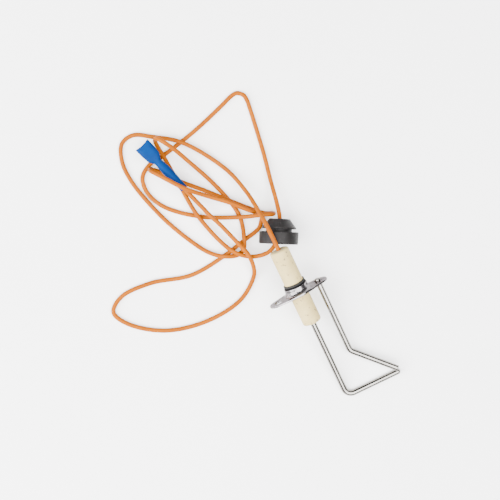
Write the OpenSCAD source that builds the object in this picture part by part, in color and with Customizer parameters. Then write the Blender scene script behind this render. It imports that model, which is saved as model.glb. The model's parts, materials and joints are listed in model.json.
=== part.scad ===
// Flame sensor probe for a boiler burner, with its free lead, lying on a flat surface.
// A ceramic insulator is held in a drawn flange. The sensing rod runs through the ceramic, and
// the earth rod is riveted to the flange beside it. The lead ends in a booted push-on terminal.
// Millimetres, +Z up. The origin is at the middle of the probe's footprint, on the surface.

/* [Rods] */
// Diameter of both rods
rod_d = 3; // [2.4:0.1:3.2]
// Length of the sensing rod below the flange, to its leg's centre line
sense_drop = 62.4; // [45:0.2:80]
// Reach of the sensing rod's leg, from the ceramic's axis to its tip
sense_reach = 30.9; // [20:0.1:40]
// Bend radius of the sensing rod, at its centre line
sense_bend = 4; // [3:0.5:6]
// Length of the earth rod below the flange, to its bend
earth_drop = 41.2; // [30:0.2:50]
// Length of the earth rod's slanting leg, from the bend to the cut end
earth_leg = 26.8; // [15:0.2:32]
// Angle of the slanting leg away from the earth rod's straight part
earth_kick = 47; // [30:1:70]
// Turn of the slanting leg out of the flange's long plane
earth_turn = 30.4; // [10:0.2:40]
// Bend radius of the earth rod, at its centre line
earth_bend = 3.5; // [3:0.5:6]

/* [Ceramic] */
// Diameter of the ceramic on the lead side
ceramic_d = 10.2; // [9:0.1:11]
// Step in from the ceramic to its nose on the rod side
nose_step = 0.1; // [0.1:0.1:0.8]
// Length of the ceramic above the flange plate's middle
ceramic_up = 24.9; // [22:0.1:34]
// Length of the ceramic below the flange plate's middle
nose_len = 17.6; // [10:0.1:20]
// Rounding of the ceramic's ends
ceramic_round = 1.2; // [0.4:0.1:1.8]
// Diameter of the bore that takes the crimp and the lead
chamber_d = 5.4; // [5:0.1:6]

/* [Flange] */
// Distance from the ceramic's axis to the fixing hole and to the earth rod
hole_pitch = 11.8; // [11.2:0.1:14]
// Diameter of the fixing hole
fixing_hole_d = 4.5; // [3.2:0.1:5]
// Radius of the flange's ends
flange_end_r = 5; // [4:0.1:6]
// Half width of the flange at its middle
flange_mid_r = 8; // [7.8:0.1:9]
// Roll of the flange about the ceramic, away from the sensing rod's leg
flange_roll = 12; // [0:1:15]
// Thickness of the flange's sheet
flange_t = 1; // [0.8:0.1:1.5]
// Wall of the drawn collar, round the ceramic
collar_wall = 1.2; // [1:0.1:1.7]
// Height of the collar's top above the plate's middle
collar_top = 4.3; // [3:0.1:6]
// Fillet between the plate and the collar
collar_fillet = 2.5; // [1:0.1:2.8]
// Height of the earth rod's riveted head above the plate
head_h = 1.4; // [1:0.1:2]
// Spread of the earth rod's riveted head past the rod
head_spread = 0.1; // [0.1:0.1:0.8]
// Diameter of the staking pits round the riveted head
pit_d = 1.1; // [0.8:0.1:1.3]

/* [Rings] */
// Thickness of the rubber seal ring
seal_t = 0.8; // [0.6:0.1:2]
// Thickness of the retaining ring
ring_t = 1.1; // [0.9:0.1:2.5]
// Wall of the retaining ring
ring_wall = 0.7; // [0.5:0.1:1.1]
// Wall of the rubber seal ring
seal_wall = 0.95; // [0.7:0.05:1.3]

/* [Lead] */
// Diameter of the lead over its insulation
lead_d = 2.3; // [1.8:0.1:2.4]
// Diameter of the stranded conductor
conductor_d = 1.2; // [0.8:0.1:1.4]

/* [Grommet] */
// Diameter of the grommet's disc
disc_d = 20.5; // [18:0.5:20.5]
// Thickness of the disc
disc_t = 6.5; // [5:0.5:7]
// Diameter of the neck that sits in the panel's hole
neck_d = 13.5; // [12:0.5:15]
// Width of the neck's groove
neck_t = 1.5; // [1:0.1:2.5]
// Largest diameter of the push-through cone
cone_d = 17.9; // [16:0.1:19]
// Smallest diameter of the cone
tip_d = 10.8; // [9:0.1:13]
// Length of the cone
cone_len = 5.2; // [4:0.1:5.2]

/* [Terminal and boot] */
// Length of the boot
boot_len = 32; // [30:0.5:34]
// Wall of the boot's head at its sides
boot_wall = 0.55; // [0.5:0.05:0.7]
// Wall of the boot's head above and below the terminal
boot_crown = 1.2; // [0.8:0.1:1.2]
// Diameter of the boot's sleeve at its swell
boot_swell_d = 5.2; // [4.4:0.1:5.4]
// Diameter of the boot's sleeve at its tail
boot_tail_d = 4.1; // [3.6:0.1:4.4]
// Metal beside the blade, on each side of the terminal
terminal_side = 0.3; // [0.2:0.1:0.4]
// Metal above and below the blade, in the terminal's curls
terminal_curl = 0.75; // [0.55:0.05:0.85]
// Length of the terminal's receptacle
terminal_len = 7; // [6:0.1:7]
// Width of the blade that the terminal takes
blade_w = 6.3; // [4.8:0.1:6.3]
// Thickness of that blade
blade_t = 0.8; // [0.5:0.1:0.8]

/* [Hidden] */
$fn = 48;
// clearances
press_gap = 0.1;          // between the nose and the flange's hole
blade_gap = 0.3;          // between the blade and the terminal's slot
boot_gap = 0.2;           // between the terminal and the boot, all round
lead_gap = 0.15;          // between the lead and the boot's tight tail, all round
grommet_gap = 0.3;        // between the lead and the grommet's bore, all round
rod_gap = 0.1;            // between a rod and the ceramic's bore, all round
bend_swell = 0.05;        // by which a rod is thicker in its bend

// The probe leans: its leg lies on the surface and its lead lies on the grommet's disc,
// lead_exit past the end of the ceramic.
lead_over_disc = 0.3;
lead_exit = 5.5;
lean_run = sense_drop + ceramic_up + lead_exit;
lean = asin((disc_d + lead_over_disc - rod_d / 2 + lead_d / 2) / lean_run);
flange_z = rod_d / 2 + sense_drop * sin(lean);
nose_d = ceramic_d - 2 * nose_step;
collar_d = ceramic_d + 2 * collar_wall;
head_d = rod_d + 2 * head_spread;
// The probe's footprint is centred on the origin.
flange_half = (hole_pitch + flange_end_r) * cos(flange_roll);
earth_slant = sin(earth_kick) * cos(earth_turn - flange_roll);
earth_reach = hole_pitch * cos(flange_roll) + earth_leg * earth_slant
    + rod_d / 2 * sqrt(1 - pow(earth_slant, 2));
probe_x = (flange_half - max(sense_reach, earth_reach)) / 2;
foot_back = sense_drop * cos(lean) + rod_d / 2;
foot_front = (ceramic_up - ceramic_round) * cos(lean)
    + (ceramic_d / 2 - ceramic_round) * sin(lean) + ceramic_round;
probe_y = (foot_back - foot_front) / 2;
function from_probe(p) = [probe_x + p[0], probe_y + p[1], p[2]];

// Stack on the ceramic's lead side, along the probe's axis
plate_top = flange_t / 2;
collar_z = max(collar_top, plate_top + collar_fillet);
seal_z = collar_z;
ring_z = seal_z + seal_t;
seal_d = ceramic_d + 2 * seal_wall;
ring_d = ceramic_d + 2 * ring_wall;
// Inside the ceramic
ferrule_z = 4;
ferrule_len = 12;
ferrule_d = rod_d + 1.2;
joint_z = ferrule_z + ferrule_len / 2;
lead_start = ferrule_z + ferrule_len + 1;
cement_len = 6;
rod_cement_len = 3;
rod_cement_d = rod_d + 1.6;

// Grommet: where its outer face is, and which way its axis points
grommet_face = from_probe([1.5, 27, disc_d / 2]);
grommet_turn = 62;
grommet_len = disc_t + neck_t + cone_len;
grommet_bore = lead_d + 2 * grommet_gap;
funnel_d = 10;
funnel_len = 4.5;

// Boot: where its mouth is, and which way its axis points
boot_mouth = from_probe([-40.5, 104.5, 8.5]);
boot_turn = -71.5;
boot_rise = 1;
boot_grip = 4;
terminal_z = 1;
slot_w = blade_w + blade_gap;
slot_h = blade_t + blade_gap;
terminal_w = slot_w + 2 * terminal_side;
terminal_h = slot_h + 2 * terminal_curl;
cavity_len = terminal_z + terminal_len + boot_gap;
boot_w = terminal_w + 2 * (boot_gap + boot_wall);
boot_h = terminal_h + 2 * (boot_gap + boot_crown);
boot_head = cavity_len;
boot_waist = boot_head + 4.5;
boot_waist_d = 4.3;
boot_swell = boot_waist + 6.7;
crimp_z = terminal_z + terminal_len + 1.5;
crimp_len = 4;
lead_end = crimp_z + crimp_len + 1.5;
clasp_z = lead_end + 2;
clasp_len = 4;
clasp_d = lead_d + 0.5;

// Points along a straight axis that starts at p and points along direction d
function along(p, d, s) = p + d * s;
function probe_dir() = [0, cos(lean), sin(lean)];
function probe_at(s) = along([probe_x, probe_y, flange_z], probe_dir(), s);
function grommet_at(s) = along(grommet_face, [cos(grommet_turn), sin(grommet_turn), 0], s);
function boot_dir() = [cos(boot_rise) * cos(boot_turn), cos(boot_rise) * sin(boot_turn), sin(boot_rise)];
function boot_at(s) = along(boot_mouth, boot_dir(), s);

// The lead's route, chosen by hand. Strands rest on the surface or on each other.
// Points are measured along the surface from the flange's middle.
first_stretch = [
    // over the grommet's disc and down to the surface
    [0, 37, 20.6], [-0.5, 47, 14.5], [-2, 60, 7.5], [-6.5, 75, 2.5], [-21, 97, 3.9],
    // round the wide left turn
    [-33.5, 106.5, 1.3], [-43, 112, 1.2], [-50, 110.5, 1.2], [-54, 102, 1.2],
    [-54, 90, 1.2], [-48, 67.5, 1.2], [-40, 49.5, 1.2], [-33.5, 39, 2],
    [-27, 33.5, 4], [-20, 31, 1.2],
    // back up the middle
    [-16, 32.5, 2.3], [-13.5, 37, 4.1], [-10.5, 48, 1.2], [-11.5, 57.5, 1.2],
    [-16, 72, 1.4], [-22, 86, 5.5],
    // the upright curl beside the boot
    [-26.5, 95.5, 10.6], [-29.5, 100.5, 13], [-32, 104, 10.6], [-33.5, 103.5, 5.5],
    [-33.5, 99.5, 3],
    // down the middle again and up into the grommet
    [-33, 95, 3.7], [-32, 80.5, 3.7], [-30, 57.5, 3.9], [-22, 34.5, 3.9], [-15.5, 28, 4],
    [-8.5, 25.5, 6.8], [-3, 26, 9.6]];
second_stretch = [
    // out to the far peak and back
    [10, 46.5, 8.8], [12.5, 59.5, 3.9], [15.5, 74.5, 1.5], [19, 98, 1.2],
    [19.5, 102.5, 1.2], [19, 106, 1.2], [16, 108.5, 1.2], [12, 108, 1.2], [6.5, 106, 1.2],
    [-12.5, 100, 1.2], [-32.5, 95.5, 1.2],
    // round the small left turn
    [-42, 94, 1.2], [-48, 89.5, 1.2], [-49, 81, 1.2], [-44.5, 71, 1.2], [-29.5, 58, 1.2],
    // the upright curl beside the grommet
    [-10.5, 48.5, 3.7], [1.5, 44, 11.5], [5.5, 42.5, 9], [6, 43, 3.3], [2, 45, 1.2],
    // under the boot's tail
    [-11, 58, 4], [-20.5, 68.5, 2.8], [-32, 80.5, 1.2],
    // the upright curl beside the boot's sleeve
    [-39, 89, 1.3], [-42, 91.5, 3.7], [-42, 90, 10], [-39.5, 86.5, 12.8],
    // over the boot's tail and down
    [-30, 74, 13.6], [-21, 65.5, 9.3], [-11.5, 57, 7.1], [-4, 49, 5.2], [-1.5, 47, 4],
    [0, 44, 2.9], [-1.5, 41.5, 1.8], [-4, 39, 1.3], [-14, 36.5, 1.2], [-28, 33.5, 1.2],
    // round the big lower loop
    [-47, 32, 1.2], [-68.5, 37.5, 1.2], [-85.5, 37.5, 1.2], [-92.5, 32, 1.2], [-88.5, 23.5, 1.2],
    [-72, 11.5, 1.2], [-49.5, 6.5, 1.2], [-29, 9, 1.2], [-18, 16.5, 1.4],
    // over the other strands and up to the boot
    [-15.5, 21, 5], [-15, 28.5, 8.2], [-17.5, 37, 7.1], [-22, 50.5, 8.6]];
lead_route = concat(
    [probe_at(lead_start), probe_at(ceramic_up + lead_exit)],
    [for (p = first_stretch) from_probe(p)],
    [grommet_at(funnel_len), grommet_at(grommet_len + 1)],
    [for (p = second_stretch) from_probe(p)],
    [boot_at(52), boot_at(45), boot_at(36), boot_at(26), boot_at(lead_end)]);

// Sweep of a round section with the given number of sides along a list of points
function unit(v) = v / norm(v);
function tangent(p, i) = unit(p[min(i + 1, len(p) - 1)] - p[max(i - 1, 0)]);
function square_to(n, t) = unit(n - t * (n * t));
function side_list(p) = [for (i = 0, n = square_to([1, 0, 0], tangent(p, 0)); i < len(p);
    i = i + 1, n = i < len(p) ? square_to(n, tangent(p, i)) : n) n];
function ring(c, t, n, r, sides) = [for (k = [0:sides - 1])
    c + r * (n * cos(360 * k / sides) + cross(t, n) * sin(360 * k / sides))];
module swept_tube(p, r, sides) {
    side = side_list(p);
    rings = [for (i = [0:len(p) - 1]) each ring(p[i], tangent(p, i), side[i], r, sides)];
    last = (len(p) - 1) * sides;
    walls = [for (i = [0:len(p) - 2], k = [0:sides - 1])
        [i * sides + k, (i + 1) * sides + k, (i + 1) * sides + (k + 1) % sides, i * sides + (k + 1) % sides]];
    split = [for (w = walls) each [[w[0], w[1], w[2]], [w[0], w[2], w[3]]]];
    start_cap = [[for (k = [0:sides - 1]) k]];
    end_cap = [[for (k = [sides - 1:-1:0]) last + k]];
    polyhedron(points = rings, faces = concat(split, start_cap, end_cap));
}

// Places things along the probe's axis, with Z towards the lead and X towards the rods' legs
module on_probe() {
    translate([probe_x, probe_y, flange_z]) rotate([lean - 90, 0, 0]) children();
}
// Places things on the flange, with X towards the earth rod
module on_flange() {
    on_probe() rotate([0, 0, flange_roll]) children();
}
// Places things along the grommet's axis, with Z from its face to its tip
module on_grommet() {
    translate(grommet_face) rotate([0, 90, grommet_turn]) children();
}
// Places things along the boot's axis, with Z from its mouth to its tail and Y across it
module on_boot() {
    translate(boot_mouth) rotate([0, 90 - boot_rise, boot_turn]) children();
}
module tube(d, bore, h) {
    difference() {
        cylinder(d = d, h = h);
        translate([0, 0, -1]) cylinder(d = bore, h = h + 2);
    }
}
// A round bar with one bend: straight up to the bend, then a leg that leans towards +X.
// The bend is a hair thicker than the bar, as a pressed bend is, and laps over both straights.
module bent_bar(d, up_len, angle, bend_r, leg_len) {
    setback = bend_r * tan(angle / 2);
    lap = 0.25;
    translate([0, 0, setback - lap]) cylinder(d = d, h = up_len - setback + lap);
    translate([bend_r, 0, setback]) rotate([-90, 0, 0]) rotate([0, 0, 180 - angle])
        rotate_extrude(angle = angle) translate([bend_r, 0]) circle(d = d + bend_swell);
    rotate([0, 180 - angle, 0]) translate([0, 0, setback - lap])
        cylinder(d = d, h = leg_len - setback + lap);
}

module ceramic_insulator() {
    r = ceramic_d / 2;
    nr = nose_d / 2;
    e = ceramic_round;
    color("antiquewhite") on_probe() difference() {
        rotate_extrude() {
            translate([0, plate_top]) square([r, ceramic_up - plate_top - e]);
            translate([0, ceramic_up - e - 0.1]) square([r - e, e + 0.1]);
            translate([r - e, ceramic_up - e]) intersection() {
                circle(r = e);
                translate([-0.1, -0.1]) square(e + 1);
            }
            translate([0, e - nose_len]) square([nr, nose_len - e + plate_top]);
            translate([0, -nose_len]) square([nr - e, e + 0.1]);
            translate([nr - e, e - nose_len]) intersection() {
                circle(r = e);
                translate([-0.1, 0.1 - e - 1]) square([e + 1, e + 1]);
            }
        }
        translate([0, 0, ferrule_z - 1]) cylinder(d = chamber_d, h = ceramic_up);
        translate([0, 0, -nose_len - 1]) cylinder(d = rod_d + 2 * rod_gap, h = nose_len + ferrule_z + 1);
        translate([0, 0, -nose_len - 1]) cylinder(d = rod_cement_d, h = rod_cement_len + 1);
    }
}
module sensing_rod() {
    color("silver") on_probe() translate([0, 0, -sense_drop]) {
        bent_bar(rod_d, sense_drop + joint_z, 90, sense_bend, sense_reach - rod_d / 2);
        translate([sense_reach - rod_d / 2, 0, 0]) sphere(d = rod_d);
    }
}
module earth_rod() {
    color("gainsboro") on_flange() {
        translate([hole_pitch, 0, -earth_drop]) rotate([0, 0, -earth_turn])
            bent_bar(rod_d, earth_drop + plate_top, earth_kick, earth_bend, earth_leg);
        translate([hole_pitch, 0, plate_top]) cylinder(d = head_d, h = head_h - 0.5);
        translate([hole_pitch, 0, plate_top + head_h - 0.5])
            cylinder(d1 = head_d, d2 = head_d - 0.8, h = 0.5);
    }
}
// The flange's outline: a wide middle drawn down to two round ends by straight tangents
module flange_outline() {
    swing = acos((flange_mid_r - flange_end_r) / hole_pitch);
    near = flange_mid_r * [cos(swing), sin(swing)];
    far = [hole_pitch, 0] + flange_end_r * [cos(swing), sin(swing)];
    circle(r = flange_mid_r, $fn = 96);
    for (s = [-1, 1]) translate([s * hole_pitch, 0]) circle(r = flange_end_r);
    polygon([near, far, [far[0], -far[1]], [near[0], -near[1]],
        [-near[0], -near[1]], [-far[0], -far[1]], [-far[0], far[1]], [-near[0], near[1]]]);
}
module flange() {
    collar_r = collar_d / 2;
    foot_r = collar_r + collar_fillet;
    color("lightsteelblue") on_flange() difference() {
        union() {
            translate([0, 0, -flange_t / 2]) linear_extrude(flange_t) flange_outline();
            intersection() {
                rotate_extrude($fn = 96) {
                    square([collar_r, collar_z]);
                    difference() {
                        square([foot_r, plate_top + collar_fillet]);
                        translate([foot_r, plate_top + collar_fillet]) circle(r = collar_fillet);
                    }
                }
                translate([0, 0, -flange_t / 2]) linear_extrude(collar_z + flange_t) flange_outline();
            }
        }
        translate([0, 0, plate_top]) cylinder(d = ceramic_d, h = collar_z);
        translate([0, 0, -flange_t]) cylinder(d = nose_d + 2 * press_gap, h = 2 * flange_t);
        translate([-hole_pitch, 0, -flange_t]) cylinder(d = fixing_hole_d, h = 2 * flange_t);
        translate([hole_pitch, 0, -flange_t]) cylinder(d = rod_d, h = 2 * flange_t);
        for (a = [0:90:270]) translate([hole_pitch, 0, 0]) rotate([0, 0, a + 45])
            translate([(head_d + pit_d) / 2, 0, plate_top - 0.4]) cylinder(d = pit_d, h = 1);
    }
}
module seal_ring() {
    color("black") on_probe() translate([0, 0, seal_z]) tube(seal_d, ceramic_d, seal_t);
}
module retaining_ring() {
    color("dimgray") on_probe() {
        translate([0, 0, ring_z]) tube(ring_d, ceramic_d, ring_t);
        translate([ceramic_d / 2 + 0.1, -0.8, ring_z + ring_t - 0.1])
            cube([ring_wall - 0.2, 1.6, 0.8]);
    }
}
module crimp_ferrule() {
    color("silver") on_probe() {
        translate([0, 0, ferrule_z]) tube(ferrule_d, rod_d, ferrule_len / 2);
        translate([0, 0, joint_z]) tube(ferrule_d, conductor_d, ferrule_len / 2);
    }
}
module rod_cement() {
    color("linen") on_probe() translate([0, 0, -nose_len]) tube(rod_cement_d, rod_d, rod_cement_len);
}
module lead_cement() {
    color("linen") on_probe() translate([0, 0, ceramic_up - cement_len]) tube(chamber_d, lead_d, cement_len);
}
module conductor_ends() {
    color("peru") {
        on_probe() translate([0, 0, joint_z]) cylinder(d = conductor_d, h = lead_start - joint_z);
        on_boot() translate([0, 0, crimp_z]) cylinder(d = conductor_d, h = lead_end - crimp_z);
    }
}
module lead_jacket() {
    color("darkorange") swept_tube(lead_route, lead_d / 2, 8);
}
module grommet() {
    tip_z = disc_t + neck_t;
    color("dimgray") on_grommet() difference() {
        union() {
            cylinder(d = disc_d, h = disc_t, $fn = 96);
            cylinder(d = neck_d, h = tip_z + 1);
            translate([0, 0, tip_z]) cylinder(d1 = cone_d, d2 = tip_d, h = cone_len, $fn = 96);
        }
        translate([0, 0, -1]) cylinder(d = grommet_bore, h = grommet_len + 2);
        translate([0, 0, -0.01]) cylinder(d1 = funnel_d, d2 = grommet_bore, h = funnel_len);
    }
}
module terminal() {
    color("gold") on_boot() {
        difference() {
            translate([-terminal_h / 2, -terminal_w / 2, terminal_z])
                cube([terminal_h, terminal_w, terminal_len]);
            translate([-slot_h / 2, -slot_w / 2, terminal_z - 1])
                cube([slot_h, slot_w, terminal_len - 0.5]);
            translate([-terminal_h, -1, terminal_z - 1]) cube([terminal_h, 2, terminal_len - 1]);
        }
        translate([-0.5, -1, terminal_z + terminal_len]) cube([1, 2, crimp_z - terminal_z - terminal_len]);
        translate([0, 0, crimp_z]) tube(clasp_d, conductor_d, crimp_len);
        translate([0, 0, clasp_z]) tube(clasp_d, lead_d, clasp_len);
        translate([lead_d / 2, -0.5, crimp_z + crimp_len - 1])
            cube([(clasp_d - lead_d) / 2, 1, clasp_z - crimp_z - crimp_len + 2]);
    }
}
module terminal_boot() {
    corner = 1.6;
    color("steelblue") on_boot() difference() {
        union() {
            hull() for (x = [-1, 1], y = [-1, 1])
                translate([x * (boot_h / 2 - corner), y * (boot_w / 2 - corner), 0])
                    cylinder(r = corner, h = boot_head, $fn = 32);
            hull() {
                for (x = [-1, 1], y = [-1, 1])
                    translate([x * (boot_h / 2 - corner), y * (boot_w / 2 - corner), boot_head - 0.5])
                        cylinder(r = corner, h = 0.5, $fn = 32);
                translate([0, 0, boot_waist - 0.5]) cylinder(d = boot_waist_d, h = 0.5, $fn = 32);
            }
            translate([0, 0, boot_waist - 0.5])
                cylinder(d1 = boot_waist_d, d2 = boot_swell_d, h = boot_swell - boot_waist + 0.5);
            translate([0, 0, boot_swell])
                cylinder(d1 = boot_swell_d, d2 = boot_tail_d, h = boot_len - boot_swell);
        }
        translate([-terminal_h / 2 - boot_gap, -terminal_w / 2 - boot_gap, -1])
            cube([terminal_h + 2 * boot_gap, terminal_w + 2 * boot_gap, cavity_len + 1]);
        translate([0, 0, 1]) cylinder(d = clasp_d + boot_gap, h = boot_len - boot_grip - 1);
        cylinder(d = lead_d + 2 * lead_gap, h = boot_len + 1);
    }
}

ceramic_insulator();
sensing_rod();
earth_rod();
flange();
seal_ring();
retaining_ring();
crimp_ferrule();
rod_cement();
lead_cement();
conductor_ends();
lead_jacket();
grommet();
terminal();
terminal_boot();
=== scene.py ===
# %% [markdown]
# # A flame sensor probe, piece by piece
# A flame sensor sits in a gas burner. A ceramic insulator carries a bent steel rod into the
# flame, a second rod is riveted to the flange as the earth side, and an orange lead takes the
# tiny flame current back to the ignition control. Each cell below makes one piece or one finish.
# Every place comes from the frame's mounts and joints, and the sizes are named values in
# millimetres, each beside the piece that it belongs to.

# %% Load the frame
import json
import math
import bpy
import numpy as np
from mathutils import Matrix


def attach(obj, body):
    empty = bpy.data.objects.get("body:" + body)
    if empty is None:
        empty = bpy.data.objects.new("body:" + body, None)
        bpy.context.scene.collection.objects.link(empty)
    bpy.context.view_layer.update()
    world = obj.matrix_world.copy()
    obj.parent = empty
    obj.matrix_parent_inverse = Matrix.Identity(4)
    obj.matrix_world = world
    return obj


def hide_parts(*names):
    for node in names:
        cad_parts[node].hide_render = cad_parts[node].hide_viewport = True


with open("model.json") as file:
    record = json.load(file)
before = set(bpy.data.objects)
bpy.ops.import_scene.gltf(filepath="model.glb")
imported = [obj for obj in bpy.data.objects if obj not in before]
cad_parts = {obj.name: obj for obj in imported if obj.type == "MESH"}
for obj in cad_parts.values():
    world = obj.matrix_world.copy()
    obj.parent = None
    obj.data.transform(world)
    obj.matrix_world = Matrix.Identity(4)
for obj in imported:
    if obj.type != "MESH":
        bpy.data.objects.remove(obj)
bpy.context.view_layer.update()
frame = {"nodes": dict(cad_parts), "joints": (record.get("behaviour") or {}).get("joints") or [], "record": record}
record = frame["record"]
nodes = frame["nodes"]
mounts = {m["name"]: m for m in record["mounts"]}
joints = {j["name"]: j for j in frame["joints"]}
MM = 0.001


# %% [markdown]
# ## Three local frames
# The probe, the grommet and the boot each lie at an angle of their own. A piece is easiest to
# shape standing upright at the origin, so each gets a frame: an origin, a Z axis along the piece
# and an X axis across it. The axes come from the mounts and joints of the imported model.

# %% Local frames from mounts and joints
def unit(v):
    """The vector divided by its own length."""
    v = np.asarray(v, float)
    return v / np.linalg.norm(v)


def make_frame(origin, z_axis, x_hint):
    """Z is the given axis, Y is square to Z and the hint, and X completes the right-handed set."""
    z = unit(z_axis)
    y = unit(np.cross(z, x_hint))
    x = np.cross(y, z)
    return np.asarray(origin, float), np.array([x, y, z])


def to_world(points, local):
    """Each local point times the frame's axes, plus the frame's origin."""
    origin, axes = local
    return np.asarray(points, float) @ axes + origin


HOLE_PITCH = 11.8
FLANGE_ROLL = math.radians(12)
SLOT_INSET = 1.0
hole = mounts["fixing_hole"]
_, square = make_frame(hole["pos_m"], hole["axis"], [1, 0, 0])
long_way = math.cos(FLANGE_ROLL) * square[0] + math.sin(FLANGE_ROLL) * square[1]
probe = (np.array(hole["pos_m"]) + HOLE_PITCH * MM * long_way, square)
flange_frame = make_frame(probe[0], hole["axis"], long_way)
turn = joints["grommet_turn"]
grommet_frame = make_frame(turn["pos_m"], turn["axis"], [0, 0, -1])
slide = joints["boot_slide"]
boot_axis = unit(slide["axis"])
boot_mouth = np.array(mounts["blade_slot"]["pos_m"]) - SLOT_INSET * MM * boot_axis
boot_frame = make_frame(boot_mouth, boot_axis, [0, 0, -1])
print("probe leans", round(math.degrees(math.asin(probe[1][2][2])), 2), "degrees")


# %% [markdown]
# ## The camera
# The probe is looked at straight down, as on a catalogue table, with a long lens so that the
# rods stay parallel. The camera is turned about its own line of sight, which lays the probe
# on a slant. It is made first, because the lead's spread is judged through it.

# %% Camera
CAMERA_OFFSET = (-0.01318, 0.03062)
CAMERA_HEIGHT = 0.625
CAMERA_TURN = math.radians(-25.56)
camera_data = bpy.data.cameras.new("Camera")
camera_data.lens = 85
camera_data.sensor_width = 36
camera_data.clip_start = 0.01
camera = bpy.data.objects.new("Camera", camera_data)
camera.location = (probe[0][0] + CAMERA_OFFSET[0], probe[0][1] + CAMERA_OFFSET[1], CAMERA_HEIGHT)
camera.rotation_euler = (0, 0, CAMERA_TURN)
bpy.context.scene.collection.objects.link(camera)
bpy.context.scene.camera = camera
print("camera at", tuple(round(v, 4) for v in camera.location))


# %% [markdown]
# ## Surfaces from grids
# Every new piece here is a grid of points: rows run one way over the surface, columns the other.
# A grid can be closed on itself either way, which makes a tube, a ring or a sleeve without any
# seam, and a row can be pinched to a point to close an end. One helper turns any such grid into a
# mesh, so each piece is left with nothing but its own formula.

# %% Grid to mesh
def grid_object(name, points, wrap_rows=False, wrap_columns=True, uv=None, ends=False):
    """Joins each point to its neighbours with quads. Wrapped ways join the last to the first.
    With ends, a fan of triangles closes the first and last rows at their middles."""
    rows, columns = points.shape[:2]
    r = np.arange(rows if wrap_rows else rows - 1)
    c = np.arange(columns if wrap_columns else columns - 1)
    a, b = np.meshgrid(r, c, indexing="ij")
    a2, b2 = (a + 1) % rows, (b + 1) % columns
    quads = np.stack([a * columns + b, a * columns + b2, a2 * columns + b2, a2 * columns + b], -1)
    quads = quads.reshape(-1, 4)
    co = points.reshape(-1, 3)
    faces = quads.tolist()
    if ends:
        middles = np.array([points[0].mean(0), points[-1].mean(0)])
        first, last = len(co), len(co) + 1
        base = (rows - 1) * columns
        faces += [[first, (k + 1) % columns, k] for k in range(columns)]
        faces += [[last, base + k, base + (k + 1) % columns] for k in range(columns)]
        co = np.vstack([co, middles])
    mesh = bpy.data.meshes.new(name)
    mesh.from_pydata(co.tolist(), [], faces)
    if uv is not None:
        layer = mesh.uv_layers.new(name="UVMap")
        across = np.stack([b, b + 1, b + 1, b], -1).reshape(-1) / columns
        along = uv[np.stack([a, a, a + 1, a + 1], -1).reshape(-1).clip(0, rows - 1)]
        flat = np.zeros((len(mesh.loops), 2), np.float32)
        flat[: len(across)] = np.stack([across, along], 1)
        layer.data.foreach_set("uv", flat.ravel())
    mesh.polygons.foreach_set("use_smooth", np.ones(len(mesh.polygons), bool))
    mesh.update()
    piece = bpy.data.objects.new(name, mesh)
    bpy.context.scene.collection.objects.link(piece)
    return face_outwards(piece)


def face_outwards(piece):
    """A closed mesh whose signed volume is negative is inside out, so its faces are turned over."""
    mesh = piece.data
    mesh.calc_loop_triangles()
    co = np.zeros(len(mesh.vertices) * 3)
    mesh.vertices.foreach_get("co", co)
    tri = np.zeros(len(mesh.loop_triangles) * 3, int)
    mesh.loop_triangles.foreach_get("vertices", tri)
    p = co.reshape(-1, 3)[tri.reshape(-1, 3)]
    volume = np.einsum("ij,ij->i", p[:, 0], np.cross(p[:, 1], p[:, 2])).sum() / 6
    if volume < 0:
        mesh.flip_normals()
    mesh.update()
    return piece


def turned(name, profile, local, segments=96, wave=None, lift=None):
    """Each profile point (radius, height) goes round the Z axis: x = r cos a, y = r sin a. The
    profile is a closed loop, so the piece is a ring. wave adds to the radius at each angle, and
    lift adds to the height."""
    profile = np.asarray(profile, float) * MM
    angle = np.linspace(0, 2 * np.pi, segments, endpoint=False)
    radius = profile[:, :1] + (wave(profile, angle) * MM if wave is not None else 0)
    height = profile[:, 1:] + (lift(profile, angle) * MM if lift is not None else 0 * angle)
    grid = np.stack([radius * np.cos(angle), radius * np.sin(angle), height], -1)
    return grid_object(name, to_world(grid, local), wrap_rows=True)


NEARLY_STRAIGHT = 1.55


def rounded(corners, radius, steps=5):
    """A loop of corners with each one replaced by a round: points on the circle of that radius
    that touches both sides, at equal angles between the two touching points."""
    corners = np.asarray(corners, float)
    radius = np.broadcast_to(radius, len(corners))
    out = []
    for i, corner in enumerate(corners):
        to_last = unit(corners[i - 1] - corner)
        to_next = unit(corners[(i + 1) % len(corners)] - corner)
        half = math.acos(np.clip(to_last @ to_next, -1, 1)) / 2
        if radius[i] == 0 or half > NEARLY_STRAIGHT:
            out.append(corner)
            continue
        centre = corner + unit(to_last + to_next) * radius[i] / math.sin(half)
        start = corner + to_last * radius[i] / math.tan(half) - centre
        end = corner + to_next * radius[i] / math.tan(half) - centre
        for t in np.linspace(0, 1, steps + 1):
            sweep = np.pi - 2 * half
            blend = (math.sin((1 - t) * sweep) * start + math.sin(t * sweep) * end) / math.sin(sweep)
            out.append(centre + blend)
    return np.array(out)


def spaced(loop, step):
    """The same closed loop with extra points on every side longer than step."""
    loop = np.asarray(loop, float)
    out = []
    for p, q in zip(loop, np.roll(loop, -1, axis=0)):
        count = max(1, int(math.ceil(np.linalg.norm(q - p) / step)))
        out += [p + (q - p) * k / count for k in range(count)]
    return np.array(out)


print("helpers ready: grid_object, turned, rounded, spaced")
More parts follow.
